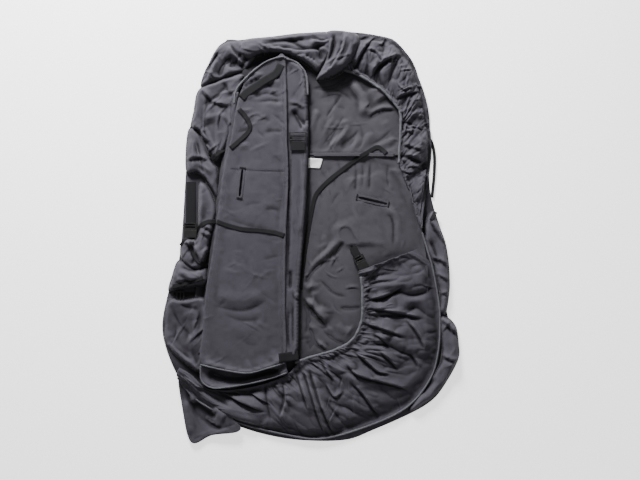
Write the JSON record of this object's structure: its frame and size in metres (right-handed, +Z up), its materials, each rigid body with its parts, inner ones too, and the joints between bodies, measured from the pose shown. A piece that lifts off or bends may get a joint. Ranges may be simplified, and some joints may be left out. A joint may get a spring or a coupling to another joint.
{
  "type": "fitted protective fabric cover",
  "caption": "Fitted protective cover of dark canvas laid flat with its side panel folded over, with gathered elastic hems, welted slots, tape ties, webbing sliders and side-release buckles.",
  "frame": {"origin": "on the resting surface, under the middle of the cover as it lies", "axes": "+Z up; +Y to the crown end of the cover; +X to its right-hand side, away from the folded-over flap"},
  "size_m": [0.7594, 1.06, 0.0376],
  "materials": {
    "canvas": "woven charcoal canvas, matt with a slight sheen",
    "inner_canvas": "woven charcoal canvas, inner face",
    "binding": "folded edge binding and piping, worn lighter along the fold",
    "elastic": "round elastic cord, matt",
    "tape": "ribbed polyester tape, matt black",
    "buckle_plastic": "moulded black plastic, satin",
    "label_cloth": "blank white woven label"
  },
  "bodies": {
    "cover": {"backrest_panel": "inner_canvas", "care_label": "label_cloth", "corner_pleat": "canvas", "cross_seam_tape": "binding", "crown_fold": "canvas", "crown_tuck": "canvas", "edge_loop": "tape", "edge_tape": "tape", "folded_ply_lower": "canvas", "folded_ply_upper": "canvas", "hem_buckle_socket": "buckle_plastic", "hem_lower_casing": "binding", "hem_lower_elastic": "elastic", "hem_tail": "canvas", "hem_upper_casing": "binding", "hem_upper_elastic": "elastic", "outer_shell": "canvas", "pouch_fold": "canvas", "seam_piping": "binding", "seat_front_panel": "inner_canvas", "seat_rear_panel": "inner_canvas", "seat_seam_left": "inner_canvas", "seat_seam_right": "inner_canvas", "seat_slot_welt": "inner_canvas", "side_buckle_socket": "buckle_plastic", "side_gusset_lower": "canvas", "side_gusset_upper": "canvas", "side_panel": "canvas", "side_pleat_lower": "canvas", "side_pleat_middle": "canvas", "side_pleat_upper": "canvas", "side_slider_webbing": "tape", "side_tape": "tape", "skirt_lower": "canvas", "skirt_upper": "canvas", "tie_back": "tape", "tie_long": "tape", "tie_seat": "tape", "tie_short": "tape"},
    "flap": {"flap_under_layer": "canvas", "flap_top_panel": "canvas", "flap_side_panel": "canvas", "flap_main_panel": "canvas", "flap_slot_stay": "canvas", "flap_slot_welt": "canvas", "boxing_strip": "canvas", "strap_slider_webbing": "tape", "corner_tab": "tape", "tie_long_flap": "tape", "tie_back_flap": "tape", "tie_crown": "tape"},
    "strap_slider": {"strap_slider": "buckle_plastic"},
    "side_slider": {"side_slider": "buckle_plastic"},
    "hem_plug": {"hem_buckle_plug": "buckle_plastic", "hem_plug_webbing": "tape"},
    "side_plug": {"side_buckle_plug": "buckle_plastic", "side_plug_webbing": "tape"}
  },
  "joints": [
    {"name": "flap_fold", "type": "hinge", "parent": "cover", "child": "flap", "pos_m": [-0.211, 0.32, 0.0255], "axis": [-0.1191, -0.9929, 0], "range_deg": [0, 135]},
    {"name": "strap_slider_travel", "type": "slide", "parent": "flap", "child": "strap_slider", "axis": [0, 1, 0], "range_m": [0, 0.04]},
    {"name": "side_slider_travel", "type": "slide", "parent": "cover", "child": "side_slider", "axis": [1, 0, 0], "range_m": [-0.006, 0.026]},
    {"name": "hem_buckle_release", "type": "slide", "parent": "cover", "child": "hem_plug", "axis": [-0.4695, 0.8829, 0], "range_m": [0, 0.02]},
    {"name": "side_buckle_release", "type": "slide", "parent": "cover", "child": "side_plug", "axis": [0, 1, 0], "range_m": [0, 0.02]}
  ]
}
